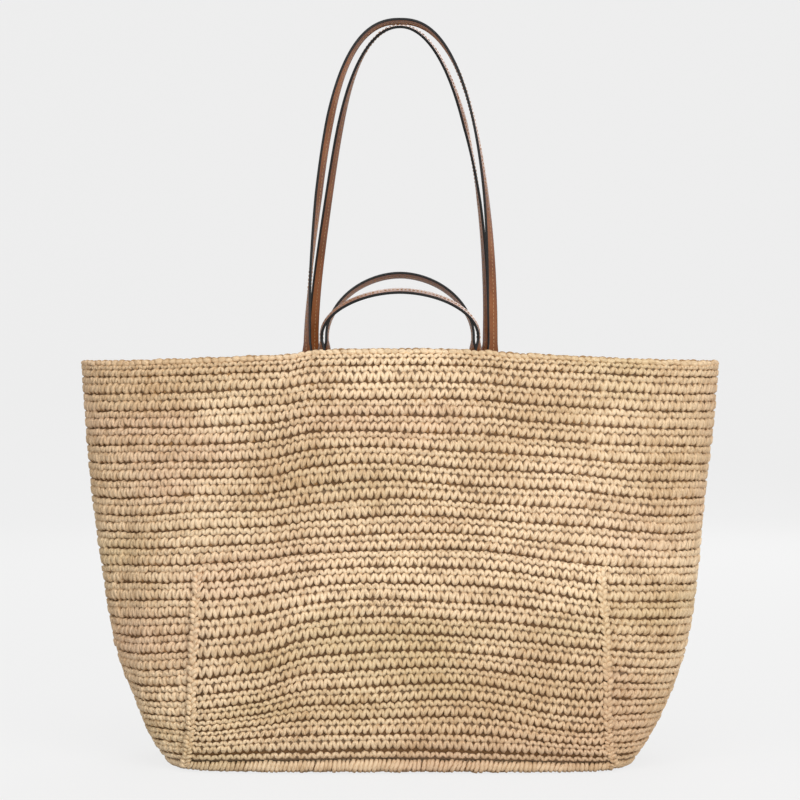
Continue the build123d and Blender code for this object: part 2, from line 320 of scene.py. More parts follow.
SLANT_LEFT = (
    [(-3.3, 1.4, -2.8), (-2.3, 3.6, -1.4), (-0.8, 6.7, -1.2), (0.9, 9.4, -2.3)],
    (1.8, 2.4, 2.2, 1.6),
    5,
    0.9,
)
SLANT_RIGHT = (
    [(3.3, 1.6, -2.8), (2.9, 3.6, -1.5), (2.2, 6.3, -1.4), (1.3, 9.0, -2.5)],
    (1.7, 2.1, 1.8, 1.4),
    5,
    0.9,
)
INNER_LEGS = (
    [(-1.6, 1.4, -2.8), (-1.6, 5.0, -1.5), (1.6, 7.5, -1.5), (2.0, 9.6, -2.8)],
    (1.4, 2.3, 2.2, 1.2),
    5,
    0.9,
)
INNER_PUFF = (
    [(-4.2, 13.2, -2.6), (-1.4, 12.7, -1.6), (1.4, 12.0, -1.6), (4.2, 11.4, -2.6)],
    (1.0, 3.1, 3.1, 1.0),
    5,
    0.7,
)
ROUND = (
    [(-4.6, 1.2, -2.2), (-1.6, 0.5, -1.2), (1.6, -0.5, -1.2), (4.6, -1.2, -2.2)],
    (1.0, 3.1, 3.1, 1.0),
    5,
    0.7,
)
FOOT_LEFT = (
    [(-3.6, -4.6, -4.0), (-2.7, -1.6, -2.7), (-1.4, 2.4, -2.5), (-0.5, 6.0, -3.4)],
    (2.0, 2.6, 2.6, 1.9),
    5,
    0.95,
)
FOOT_RIGHT = (
    [(0.4, -4.8, -4.0), (1.4, -1.7, -2.6), (2.6, 2.3, -2.4), (3.5, 5.8, -3.4)],
    (2.0, 2.7, 2.6, 1.9),
    5,
    0.95,
)
RIM_PUFF = (
    [
        (-4.2, 0.5, -4.0),
        (-2.1, 0.25, -3.2),
        (0.0, 0.0, -2.8),
        (2.1, -0.25, -2.7),
        (4.2, -0.6, -3.4),
    ],
    (1.0, 2.3, 2.7, 2.3, 1.0),
    8,
    1.18,
)
KNOB = (
    [(-2.9, 2.1, -2.8), (-1.2, 1.2, -1.2), (0.9, -0.6, -1.0), (2.6, -2.0, -2.8)],
    (1.1, 2.2, 2.3, 1.1),
    6,
    0.9,
)

vee_stitch = stitch_mesh("vee_stitch", VEE_LEFT, VEE_RIGHT)
arch_stitches = [
    stitch_mesh("arch_stitch", ARCH_LEFT, ARCH_RIGHT),
    stitch_mesh("slant_stitch", SLANT_LEFT, SLANT_RIGHT),
]
inner_stitch = stitch_mesh("inner_stitch", INNER_PUFF, INNER_LEGS)
round_stitch = stitch_mesh("round_stitch", ROUND)
fat_stitch = stitch_mesh("fat_stitch", FOOT_LEFT, FOOT_RIGHT)
rim_stitch = stitch_mesh("rim_stitch", RIM_PUFF)
knob_stitch = stitch_mesh("knob_stitch", KNOB)


def read_points(mesh):
    """Coordinates of a mesh as rows of three."""
    points = np.empty(len(mesh.vertices) * 3, np.float32)
    mesh.vertices.foreach_get("co", points)
    return points.reshape(-1, 3).astype(float)


def note(mesh, name, values):
    """Writes one number for each point of a mesh."""
    mesh.attributes.new(name, "FLOAT", "POINT").data.foreach_set("value", values.astype(np.float32))


class Row:
    """A straight row of stitches, each a little different, before it is put on the bag."""

    def __init__(self, stitch, count, pitch, slack=1.0):
        holder = bpy.data.objects.new("row", stitch)
        bpy.context.collection.objects.link(holder)
        array = holder.modifiers.new("row", "ARRAY")
        array.count = count
        array.use_relative_offset = False
        array.use_constant_offset = True
        array.constant_offset_displace = (pitch, 0, 0)
        graph = bpy.context.evaluated_depsgraph_get()
        self.mesh = bpy.data.meshes.new_from_object(holder.evaluated_get(graph))
        bpy.data.objects.remove(holder)
        owner = np.arange(len(self.mesh.vertices)) // len(stitch.vertices)
        points = read_points(self.mesh)
        # how deep each point lies towards the backing, which the raffia finishes turn into painted
        # shade
        note(self.mesh, "depth", np.clip((points[:, 2] - BACKING) / (-BACKING), 0, 1))
        note(self.mesh, "tone", random.uniform(0, 1, count)[owner])
        middle = read_points(stitch)[:, 1].mean()
        along = np.arange(count) * pitch
        centres = np.stack((along, np.full(count, middle), np.zeros(count)), axis=1)[owner]
        local = points - centres
        loose = np.clip(random.normal(0, 1, (count, 5)), -LOOSE_LIMIT, LOOSE_LIMIT) * slack
        turn = LOOSE_TURN * loose[:, 0][owner]
        size = 1 + LOOSE_SIZE * loose[:, 1][owner]
        shift = loose[:, 2:] * LOOSE_SHIFT * MM
        x = (local[:, 0] * np.cos(turn) - local[:, 1] * np.sin(turn)) * size
        y = (local[:, 0] * np.sin(turn) + local[:, 1] * np.cos(turn)) * size
        self.length = count * pitch
        self.points = np.stack((x, y, local[:, 2] * size), axis=1) + centres + shift[owner]

    def put(self, places):
        """Writes the row's places on the bag and gives its mesh."""
        self.mesh.vertices.foreach_set("co", places.astype(np.float32).ravel())
        self.mesh.update()
        return self.mesh


def round_row(stitch, level, squeeze=1.0, pitch=STITCH, base=0.0, facing=1, phase=0.0):
    """One row of stitches round the wall at a level, outside (facing 1) or inside (facing -1)."""
    row = Row(stitch, round(perimeter(level) / pitch), pitch)
    share = facing * row.points[:, 0] / row.length + phase
    out = base + facing * row.points[:, 2]
    return row.put(wrap_round(share, level + row.points[:, 1] * squeeze, out, level))


def join(name, meshes, material):
    """One smooth piece of several meshes."""
    pieces = []
    for mesh in meshes:
        piece = bpy.data.objects.new(name, mesh)
        bpy.context.collection.objects.link(piece)
        pieces.append(piece)
    if len(pieces) > 1:
        with bpy.context.temp_override(active_object=pieces[0], selected_editable_objects=pieces):
            bpy.ops.object.join()
    piece = pieces[0]
    piece.name = name
    piece.data.materials.clear()
    piece.data.materials.append(material)
    piece.data.polygons.foreach_set("use_smooth", [True] * len(piece.data.polygons))
    return piece


# ------------------------------------------------------------------ finishes
class Signal:
    """An output of a node that can stand in sums and products."""

    def __init__(self, finish, socket):
        self.finish = finish
        self.socket = socket

    def work(self, operation, *values):
        """A maths node on one or two values or outputs."""
        inputs = dict(enumerate(values))
        return self.finish.node("Math", {"operation": operation}, inputs)

    def __add__(self, other):
        return self.work("ADD", self, other)

    def __sub__(self, other):
        return self.work("SUBTRACT", self, other)

    def __rsub__(self, other):
        return self.work("SUBTRACT", other, self)

    def __mul__(self, other):
        return self.work("MULTIPLY", self, other)

    __radd__ = __add__
    __rmul__ = __mul__


class Finish:
    """A material and the nodes in it."""

    def __init__(self, name):
        self.material = bpy.data.materials.new(name)
        self.material.use_nodes = True
        self.tree = self.material.node_tree
        self.tree.nodes.clear()

    def node(self, kind, settings=None, inputs=None, output=0):
        """Adds a node: first its settings, then the values or links of its sockets."""
        made = self.tree.nodes.new("ShaderNode" + kind)
        for name, value in (settings or {}).items():
            setattr(made, name, value)
        for name, value in (inputs or {}).items():
            if isinstance(value, Signal):
                self.tree.links.new(value.socket, made.inputs[name])
            else:
                made.inputs[name].default_value = value
        return Signal(self, made.outputs[output]) if made.outputs else None

    def place(self):
        """Place in the bag's own frame."""
        return self.node("TexCoord", output="Object")

    def attribute(self, name, output="Fac"):
        """A value written on the mesh's points."""
        return self.node("Attribute", {"attribute_name": name}, output=output)

    def stretch(self, vector, size):
        """Vector times a size along each axis."""
        return self.node("VectorMath", {"operation": "MULTIPLY"}, {0: vector, 1: size})

    def noise(self, vector, scale, detail=2.0, roughness=0.5):
        """Cloudy noise between 0 and 1."""
        inputs = {"Vector": vector, "Scale": scale, "Detail": detail, "Roughness": roughness}
        return self.node("TexNoise", None, inputs)

    def ramp(self, value, low, high):
        """0 where value is low, 1 where it is high."""
        inputs = {"Value": value, "From Min": low, "From Max": high}
        return self.node("MapRange", {"interpolation_type": "SMOOTHSTEP"}, inputs)

    def mix(self, share, first, second):
        """Colour between two colours."""
        inputs = {0: share, 6: first, 7: second}
        return self.node("Mix", {"data_type": "RGBA"}, inputs, output=2)

    def bump(self, height, strength, distance):
        """Normal of a surface raised by a height."""
        inputs = {"Height": height, "Strength": strength, "Distance": distance}
        return self.node("Bump", None, inputs)

    def surface(self, **inputs):
        """Puts a Principled shader with these sockets on the surface."""
        named = {name.replace("_", " "): value for name, value in inputs.items()}
        shader = self.node("BsdfPrincipled", None, named)
        self.node("OutputMaterial", None, {"Surface": shader})
        return self.material


def srgb(red, green, blue):
    """Linear colour from one given in 0 to 255 as a screen shows it."""
    return tuple((value / 255) ** 2.2 for value in (red, green, blue)) + (1.0,)


PALE_RAFFIA = srgb(246, 219, 182)
MIDDLE_RAFFIA = srgb(217, 186, 147)
PINK_RAFFIA = srgb(229, 193, 162)
OLIVE_RAFFIA = srgb(206, 181, 134)
# darker raffia for some stitches and fibres, and also the painted shade deep between the stitches
DARK_RAFFIA_AND_SHADE = srgb(150, 103, 40)
SHADED_RAFFIA = srgb(78, 50, 19)
TAN_LEATHER = srgb(146, 89, 52)
BROWN_LEATHER = srgb(112, 65, 35)
LEATHER_PORES = srgb(88, 50, 28)
RUBBED_LEATHER = srgb(178, 128, 88)
EDGE_PAINT = srgb(12, 11, 10)
PATCH_TAN = srgb(138, 88, 54)
PATCH_BROWN = srgb(106, 64, 36)
PATCH_PORES = srgb(84, 48, 27)
PALE_THREAD = srgb(176, 138, 98)
BROWN_THREAD = srgb(134, 98, 64)


def raffia_finish(name, shade=0.0):
    """Dry paper-like yarn: fine fibres along each strand, colour that drifts over the bag, and
    painted shade in its deep places.
    """
    finish = Finish(name)
    place = finish.place()
    yarn = finish.attribute("yarn", "Vector")
    tone = finish.attribute("tone")
    depth = finish.attribute("depth")
    spread = finish.stretch(place, (90, 90, 90))
    scattered = finish.node("VectorMath", {"operation": "ADD"}, {0: yarn, 1: spread})
    fibre = finish.noise(finish.stretch(scattered, (0.26, 0.85, 0.85)), 1.0, 5.0, 0.7)
    kinks = finish.noise(place, 420.0, 2.0)
    broad = finish.noise(place, 7.0, 3.0)
    rosy = finish.noise(finish.stretch(place, (1.0, 1.0, 2.5)), 4.3, 2.0)
    colour = finish.mix(finish.ramp(broad, 0.35, 0.68), PALE_RAFFIA, MIDDLE_RAFFIA)
    colour = finish.mix(finish.ramp(rosy, 0.5, 0.72) * 0.6, colour, PINK_RAFFIA)
    colour = finish.mix(finish.ramp(rosy, 0.5, 0.3) * 0.55, colour, OLIVE_RAFFIA)
    colour = finish.mix(finish.ramp(tone, 0.5, 1.0) * 0.22, colour, DARK_RAFFIA_AND_SHADE)
    colour = finish.mix(finish.ramp(fibre, 0.47, 0.72) * 0.62, colour, DARK_RAFFIA_AND_SHADE)
    # painted shade: the deeper a point lies between the stitches, the darker it is painted
    colour = finish.mix(finish.ramp(depth, 0.6, 0.1) * 0.75, colour, DARK_RAFFIA_AND_SHADE)
    if shade:
        colour = finish.mix(shade, colour, SHADED_RAFFIA)
    normal = finish.bump(fibre + kinks * 0.4, 0.7, 0.0011)
    return finish.surface(Base_Color=colour, Roughness=0.62 + fibre * 0.2, Normal=normal)


def leather_finish():
    """Smooth pebbled leather with black painted edges."""
    finish = Finish("strap_leather")
    place = finish.place()
    across = finish.attribute("across")
    drift = finish.noise(place, 22.0, 3.0)
    cells = finish.node("TexVoronoi", {"feature": "SMOOTH_F1"}, {"Vector": place, "Scale": 1150.0})
    grain = finish.noise(place, 900.0, 3.0)
    colour = finish.mix(finish.ramp(drift, 0.3, 0.7), TAN_LEATHER, BROWN_LEATHER)
    colour = finish.mix(finish.ramp(cells, 0.35, 0.8) * 0.4, colour, LEATHER_PORES)
    rub = finish.ramp(across, 0.75, 0.88) * finish.ramp(grain, 0.4, 0.65)
    colour = finish.mix(rub * 0.35, colour, RUBBED_LEATHER)
    paint = finish.ramp(across, 0.87, 0.90)
    colour = finish.mix(paint, colour, EDGE_PAINT)
    rough = 0.30 + drift * 0.12 + paint * 0.15
    height = (1 - paint) * (grain * 0.5 - cells)
    normal = finish.bump(height, 0.35, 0.0003)
    return finish.surface(Base_Color=colour, Roughness=rough, Specular_IOR_Level=0.3, Normal=normal)


def plain_leather_finish():
    """The leather of the inner patches: no painted face, a little duller."""
    finish = Finish("patch_leather")
    place = finish.place()
    drift = finish.noise(place, 30.0, 3.0)
    cells = finish.node("TexVoronoi", {"feature": "SMOOTH_F1"}, {"Vector": place, "Scale": 1000.0})
    grain = finish.noise(place, 850.0, 3.0)
    colour = finish.mix(finish.ramp(drift, 0.3, 0.7), PATCH_TAN, PATCH_BROWN)
    colour = finish.mix(finish.ramp(cells, 0.35, 0.8) * 0.45, colour, PATCH_PORES)
    normal = finish.bump(grain * 0.5 - cells, 0.4, 0.0003)
    return finish.surface(Base_Color=colour, Roughness=0.42 + drift * 0.15, Normal=normal)


def thread_finish():
    """Waxed sewing thread, twisted."""
    finish = Finish("sewing_thread")
    place = finish.place()
    inputs = {"Vector": place, "Scale": 800.0}
    twist = finish.node("TexWave", {"bands_direction": "DIAGONAL"}, inputs)
    colour = finish.mix(twist * 0.5, PALE_THREAD, BROWN_THREAD)
    return finish.surface(Base_Color=colour, Roughness=0.5, Normal=finish.bump(twist, 0.3, 0.0002))


raffia = raffia_finish("raffia_yarn")
# a copy with a little painted shade, for the yarn inside the bag
shaded_inner_raffia = raffia_finish("inner_raffia_yarn", 0.12)
# a much darker copy for the backing: painted shade for the shadow in the holes and furrows between
# stitches
shaded_backing_raffia = raffia_finish("shaded_backing_yarn", 0.8)
leather = leather_finish()
patch_leather = plain_leather_finish()
thread = thread_finish()


def dress(piece, body, slot, *nodes):
    """Says which body a piece rides on and the nodes it stands for; slot is not used."""
    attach(piece, body)
    if nodes:
        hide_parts(*nodes)


# ------------------------------------------------------------------ the wall
def rib(level):
    """0 in the furrows and 1 at the middle of a band."""
    share = (level - FIRST_FURROW) / BAND % 1.0
    return np.sin(math.pi * share) ** 0.7


def flat_sheet(name, across, up):
    """A flat grid, one unit wide and high, that is then bent into place."""
    bm = bmesh.new()
    bmesh.ops.create_grid(bm, x_segments=across, y_segments=up, size=0.5)
    bmesh.ops.translate(bm, vec=(0.5, 0.5, 0), verts=bm.verts)
    mesh = bpy.data.meshes.new(name)
    bm.to_mesh(mesh)
    bm.free()
    return mesh, read_points(mesh)


def close_sheet(mesh, places, depth, thickness=1.2 * MM):
    """Puts a sheet in place, joins its ends where they meet and gives it a thickness."""
    mesh.vertices.foreach_set("co", places.astype(np.float32).ravel())
    # its depth sets how much painted shade its finish puts on, darkest in the furrows
    note(mesh, "depth", depth)
    bm = bmesh.new()
    bm.from_mesh(mesh)
    bmesh.ops.remove_doubles(bm, verts=bm.verts, dist=0.2 * MM)
    bmesh.ops.recalc_face_normals(bm, faces=bm.faces)
    bmesh.ops.solidify(bm, geom=bm.faces[:], thickness=thickness)
    bm.to_mesh(mesh)
    bm.free()
    return mesh


def wall_backing_mesh(top):
    """The yarn under the stitches of the wall: a ribbed skin with painted shade, darkest in the
    furrows.
    """
    mesh, flat = flat_sheet("backing", *WALL_GRID)
    level = 10.0 * MM + (top - 10.0 * MM) * flat[:, 1]
    places = wrap_round(flat[:, 0], level, BACKING + RIB * rib(level), RIM_HEIGHT / 2)
    return close_sheet(mesh, places, 0.5 * rib(level))


def make_wall():
    """Bands of stitches outside and inside, and the backing between them."""
    levels = [FIRST_FURROW + BAND * number for number in range(BANDS)]
    last = (RIM_HEIGHT - TOP_GAP - LAST_FURROW) / BAND
    bands = [(level, 1.0) for level in levels] + [(LAST_FURROW, last)]
    names = ("wall_rows_low", "wall_rows_middle", "wall_rows_upper", "wall_rows_high")
    for number, name in enumerate(names):
        group = bands[number * 6 : number * 6 + 6]
        meshes = []
        for level, squeeze in group:
            for stitch in (vee_stitch, random.choice(arch_stitches)):
                meshes.append(round_row(stitch, level, squeeze, phase=random.uniform()))
        if number == 0:
            meshes.append(round_row(vee_stitch, LOW_ROW, phase=random.uniform()))
        piece = join(name, meshes, raffia)
        dress(piece, "bag", "raffia", "body_wall")
    for number, name in enumerate(("inner_rows_low", "inner_rows_high")):
        group = bands[number * 12 : number * 12 + 12]
        meshes = []
        for level, squeeze in group:
            phase = random.uniform()
            meshes.append(round_row(inner_stitch, level, squeeze, INNER_PITCH, -WALL, -1, phase))
        dress(join(name, meshes, shaded_inner_raffia), "bag", "raffia", "body_wall")
    backing = join("wall_backing", [wall_backing_mesh(RIM_HEIGHT - 2.0 * MM)], shaded_backing_raffia)
    dress(backing, "bag", "raffia", "body_wall")


def make_rim():
    """A braid that closes the rim."""
    rim = round_row(rim_stitch, RIM_HEIGHT - RIM_DROP, pitch=RIM_PITCH)
    dress(join("rim_braid", [rim], raffia), "bag", "raffia", "rim_edging")


# ------------------------------------------------------------------ the base
def base_round(stitch, inset, height, facing):
    """One round of stitches on the base, inset from its edge, facing down (-1) or up (1)."""
    row = Row(stitch, round(perimeter(0.0, -inset) / ROUND_PITCH), ROUND_PITCH)
    turns = np.linspace(0, 2 * math.pi, 1441)
    line_x, line_y = outline(turns, 0.0, -inset)
    travelled = np.concatenate(([0.0], np.cumsum(np.hypot(np.diff(line_x), np.diff(line_y)))))
    turn = np.interp(row.points[:, 0] / row.length % 1.0, travelled / travelled[-1], turns)
    x, y = outline(turn, 0.0, -inset - facing * row.points[:, 1])
    return row.put(np.stack((x, y, height + facing * row.points[:, 2]), axis=1))


def make_base():
    """The fat round that curls under, and flat rounds on both faces of the base."""
    seam = [round_row(fat_stitch, FAT_LEVEL, pitch=FAT_PITCH)]
    dress(join("base_braid", seam, raffia), "bag", "raffia", "base_seam")
    step = (BASE_HALF_DEPTH - 2 * BASE_INSET) / (BASE_ROUNDS - 1)
    insets = [BASE_INSET + number * step for number in range(BASE_ROUNDS)]
    for name, height, facing, stitch_material in (
        ("base_rounds_under", ROUNDS_UNDER, -1, raffia),
        ("base_rounds_inside", ROUNDS_INSIDE, 1, shaded_inner_raffia),
    ):
        meshes = [base_round(round_stitch, inset, height, facing) for inset in insets]
        dress(join(name, meshes, stitch_material), "bag", "raffia", "base_panel")
    bm = bmesh.new()
    bmesh.ops.create_circle(bm, cap_ends=True, radius=1.0, segments=160)
    made = bmesh.ops.extrude_face_region(bm, geom=bm.faces[:])["geom"]
    upper = [item for item in made if isinstance(item, bmesh.types.BMVert)]
    bmesh.ops.translate(bm, vec=(0, 0, 1), verts=upper)
    bmesh.ops.recalc_face_normals(bm, faces=bm.faces)
    mesh = bpy.data.meshes.new("base_backing")
    bm.to_mesh(mesh)
    bm.free()
    points = read_points(mesh)
    inset, height, thickness = BASE_BACKING
    x, y = outline(np.arctan2(points[:, 1], points[:, 0]), 0.0, -inset)
    z = height + thickness * points[:, 2]
    mesh.vertices.foreach_set("co", np.stack((x, y, z), axis=1).astype(np.float32).ravel())
    dress(join("base_backing", [mesh], shaded_backing_raffia), "bag", "raffia", "base_panel")


# ------------------------------------------------------------------ the pocket
def pocket_half(z):
    """Half of the pocket's width at a level."""
    share = np.clip((z - SEAM_HEIGHT) / (POCKET_TOP - SEAM_HEIGHT), 0, 1)
    return POCKET_BOTTOM_HALF + (POCKET_TOP_HALF - POCKET_BOTTOM_HALF) * share


def wrinkle(x, z):
    """How far the pocket's rows move up where they wrinkle, at its lower left."""
    level, spread = WRINKLE_DOWN_AT
    step = smooth_step(0.080, 0.132, -x) * np.exp(-(((z - level) / spread) ** 2))
    level, spread = WRINKLE_UP_AT
    bunch = smooth_step(0.06, 0.15, -x) * np.exp(-(((z - level) / spread) ** 2))
    return -WRINKLE_DOWN * step + WRINKLE_UP * bunch


def pocket_out(x, level):
    """The pocket's face above the wall: low at its sides and foot, and leaning in at its mouth."""
    near = np.minimum(pocket_half(level) - np.abs(x), (level - SEAM_HEIGHT) * 0.6)
    top = 1 - POCKET_LEAN * smooth_step(POCKET_TOP - POCKET_LEAN_HEIGHT, POCKET_TOP, level)
    rise = POCKET_EDGE_OUT + (1 - POCKET_EDGE_OUT) * smooth_step(0.0, POCKET_EDGE, near)
    return POCKET_OUT * rise * top


def pocket_row(stitch, level, pitch=STITCH):
    """One row of stitches across the pocket."""
    half = pocket_half(level + BAND / 2) - 1.5 * MM
    row = Row(stitch, round(2 * half / pitch), pitch)
    x = (row.points[:, 0] / row.length * 2 - 1) * half + pitch * random.uniform(0.2, 0.8)
    z = level + row.points[:, 1]
    z = z + wrinkle(x, z)
    return row.put(wrap_front(x, z, pocket_out(x, z) + row.points[:, 2]))


def pocket_edge(side, way, level_low, level_high):
    """Half of the chain of stitches up one side of the pocket, slanting one way."""
    row = Row(knob_stitch, round((level_high - level_low) / KNOB_PITCH), KNOB_PITCH, 1.5)
    level = level_low + row.points[:, 0]
    x = side * (pocket_half(level) - CHAIN_INSET) + way * (CHAIN_SPREAD - row.points[:, 1])
    return row.put(wrap_front(x, level, pocket_out(x, level) + CHAIN_LIFT + row.points[:, 2]))


def make_pocket():
    """Rows of the pocket, the braid at its foot and the chains on its sides."""
    first = FIRST_FURROW - BAND
    count = round((POCKET_TOP - first) / BAND)
    meshes = [pocket_row(fat_stitch, FAT_LEVEL, FAT_PITCH), pocket_row(vee_stitch, LOW_ROW)]
    for number in range(1, count):
        for stitch in (vee_stitch, random.choice(arch_stitches)):
            meshes.append(pocket_row(stitch, first + BAND * number))
    rows = join("pocket_rows", meshes, raffia)
    dress(rows, "bag", "raffia", "pocket_panel", "pocket_top_edging", "pocket_bottom_seam")
    for side, name in ((-1, "left"), (1, "right")):
        top = POCKET_TOP - 1.0 * MM
        edges = [pocket_edge(side, way, (10.5 + way) * MM, top) for way in (-1, 1)]
        dress(join(f"pocket_{name}_chain", edges, raffia), "bag", "raffia", f"pocket_{name}_edging")
    mesh, flat = flat_sheet("pocket_backing", *POCKET_GRID)
    level = first + 7.0 * MM + (POCKET_TOP - 1.0 * MM - first - 7.0 * MM) * flat[:, 1]
    x = (flat[:, 0] * 2 - 1) * (pocket_half(level) - 2.0 * MM)
    z = level + wrinkle(x, level)
    places = wrap_front(x, z, pocket_out(x, z) + BACKING + RIB * rib(level))
    backing = join("pocket_backing", [close_sheet(mesh, places, 0.5 * rib(level))], shaded_backing_raffia)
    dress(backing, "bag", "raffia", "pocket_panel")


make_wall()
make_rim()
make_base()
make_pocket()


# ------------------------------------------------------------------ the leather straps
STRAP_HALF = 6.0 * MM
STRAP_THICKNESS = 2.8 * MM
LONG_LEG_X = 0.084
SHORT_LEG_X = 0.0712
TAIL_LENGTH = 0.070
TAIL_POINTS = 40
TAIL_CLEARANCE = 0.15 * MM
HINGE_Z = frame["record"]["behaviour"]["joints"][0]["pos_m"][2]
HINGE_CLEARANCE = 3.4 * MM
THREAD_HALF = STRAP_THICKNESS / 2 + 0.35 * MM
APEX_CLEARANCE = 0.4 * MM
STRAP_STEP = 2.6 * MM  # between the rings of a strap's mesh
STITCH_STEP = 3.6 * MM
SEAM_MARGIN = 4.0 * MM
SEAM_SLACK = 0.25  # how loose the sewing is, beside the crochet
# A leg's face turns from flat (0 degrees) below the rim to edge-on (90) at the top of its loop. The
# first row of numbers is the way along the strap from its bending line.
LONG_RUN = (-0.034, -0.004, 0.024, 0.061, 0.136, 0.212, 0.320)
SHORT_RUN = (-0.034, -0.002, 0.022)
SHORT_TURNS = (0, 84, 90)
FRONT_TURNS_LEFT = (0, 62, 72, 90, 113, 116, 90)
FRONT_TURNS_RIGHT = (0, 47, 46, 52, 70, 80, 90)
BACK_TURNS_LEFT = (0, 45, 46, 52, 60, 66, 90)
BACK_TURNS_RIGHT = (0, 66, 70, 72, 79, 106, 90)
# Each strap has two rows here. The first gives its side, the place of its legs, its rise from the
# bending line, its fullness, its lean in degrees (None leans to the middle) and how far its left
# side sways in. The second gives the run, and the turns left and right.
STRAPS = {
    "long_strap_front": (
        (-1, LONG_LEG_X, 0.297, 2.4, None, 0.004),
        (LONG_RUN, FRONT_TURNS_LEFT, FRONT_TURNS_RIGHT),
    ),
    "long_strap_back": (
        (1, LONG_LEG_X, 0.294, 2.05, None, 0.007),
        (LONG_RUN, BACK_TURNS_LEFT, BACK_TURNS_RIGHT),
    ),
    "short_strap_front": (
        (-1, SHORT_LEG_X, 0.043, 1.9, -17.0, 0.0),
        (SHORT_RUN, SHORT_TURNS, SHORT_TURNS),
    ),
    "short_strap_back": (
        (1, SHORT_LEG_X, 0.063, 1.9, -22.0, 0.0),
        (SHORT_RUN, SHORT_TURNS, SHORT_TURNS),
    ),
}


def tail_depth(x, z):
    """Distance of the middle of a strap's tail from the middle plane."""
    return float(face_depth(x, z, -(WALL + TAIL_CLEARANCE + STRAP_THICKNESS / 2)))


def rim_line(x, drop):
    """Height of the rim beside x, less a drop."""
    sag = 10.5 * MM
    return RIM_HEIGHT - sag * (1 - math.cos(math.pi * min(1.0, abs(x) / RIM_HALF_WIDTH))) / 2 - drop


def lean_to_middle(rise):
    """Lean that brings the top of a long loop against the other long loop."""
    depth = tail_depth(LONG_LEG_X, HINGE_Z)
    lean = 0.0
    for _ in range(4):
        corner = STRAP_HALF * math.cos(lean) + THREAD_HALF * math.sin(lean)
        lean = math.atan2(depth - corner - APEX_CLEARANCE / 2, rise)
    return lean


class StrapPath:
    """The line of a strap from tail to tail over the loop, with its faces' directions."""

    def __init__(self, side, leg_x, rise, fullness, lean, sway, run, turns_left, turns_right):
        tilt = lean_to_middle(rise) if lean is None else math.radians(lean)
        upward = np.array((0, -side * math.sin(tilt), math.cos(tilt)))
        forward = np.cross((1, 0, 0), upward)
        hinge = np.array((0, side * tail_depth(leg_x, HINGE_Z), HINGE_Z))
        turn = np.linspace(0, math.pi, 601)
        across = leg_x * np.sign(np.cos(turn)) * np.abs(np.cos(turn)) ** (2 / fullness)
        full = rise / math.cos(tilt) - HINGE_CLEARANCE
        up = HINGE_CLEARANCE + full * np.sin(turn) ** (2 / fullness)
        height = (up - HINGE_CLEARANCE) / (up.max() - HINGE_CLEARANCE)
        across = across + sway * np.sin(math.pi * height) ** 1.5 * (across < 0)
        loop = hinge + across[:, None] * np.array((1, 0, 0)) + up[:, None] * upward
        low = rim_line(leg_x, TAIL_LENGTH)
        heights = np.linspace(low, HINGE_Z, TAIL_POINTS)
        tail = np.array([(leg_x, side * tail_depth(leg_x, z), z) for z in heights])
        self.points = np.concatenate((tail, loop, tail[::-1] * (-1, 1, 1)))
        steps = np.linalg.norm(np.diff(self.points, axis=0), axis=1)
        self.travelled = np.concatenate(([0.0], np.cumsum(steps)))
        self.length = self.travelled[-1]
        self.tail = self.travelled[TAIL_POINTS - 1]
        travel = np.gradient(self.points, axis=0)
        travel /= np.linalg.norm(travel, axis=1)[:, None]
        from_end = np.minimum(self.travelled, self.length - self.travelled) - self.tail
        turns = (np.interp(from_end, run, turns_left), np.interp(from_end, run, turns_right))
        turned = np.radians(np.where(self.points[:, 0] < 0, *turns))
        outward = np.cross(travel, forward)
        self.face = outward * np.sin(turned)[:, None] + forward * (-side * np.cos(turned))[:, None]
        self.across = np.cross(self.face, travel)
        self.across /= np.linalg.norm(self.across, axis=1)[:, None]
        self.face = np.cross(travel, self.across)

    def bend(self, points):
        """Carries straight points (along, across, out of the face) onto the strap's line."""
        places = np.zeros_like(points)
        for axis in range(3):
            line = np.interp(points[:, 0], self.travelled, self.points[:, axis])
            across = np.interp(points[:, 0], self.travelled, self.across[:, axis])
            face = np.interp(points[:, 0], self.travelled, self.face[:, axis])
            places[:, axis] = line + across * points[:, 1] + face * points[:, 2]
        return places


def strap_mesh(path):
    """A strap with softly rounded edges and slightly domed faces, closed at its two ends."""
    half = STRAP_THICKNESS / 2
    outline_points = []
    for face in (1, -1):
        for share in (-0.78, -0.35, 0.0, 0.35, 0.78):
            dome = 1.0 - 0.16 * share * share
            outline_points.append((face * share * STRAP_HALF, face * half * dome))
        for share, out in ((0.945, 0.86), (0.99, 0.6), (1.0, 0.0), (0.99, -0.6), (0.945, -0.86)):
            outline_points.append((face * share * STRAP_HALF, face * out * half))
    bm = bmesh.new()
    ring = [bm.verts.new((0, across, out)) for across, out in reversed(outline_points)]
    bm.faces.new(ring)
    count = round(path.length / STRAP_STEP)
    for _ in range(count):
        made = bmesh.ops.extrude_edge_only(bm, edges=ring_edges(ring))["geom"]
        ring = [item for item in made if isinstance(item, bmesh.types.BMVert)]
        bmesh.ops.translate(bm, vec=(path.length / count, 0, 0), verts=ring)
    bmesh.ops.edgeloop_fill(bm, edges=ring_edges(ring))
    bmesh.ops.recalc_face_normals(bm, faces=bm.faces)
    mesh = bpy.data.meshes.new("strap")
    bm.to_mesh(mesh)
    bm.free()
    points = read_points(mesh)
    note(mesh, "across", np.abs(points[:, 1]) / STRAP_HALF)
    mesh.vertices.foreach_set("co", path.bend(points).astype(np.float32).ravel())
    return mesh


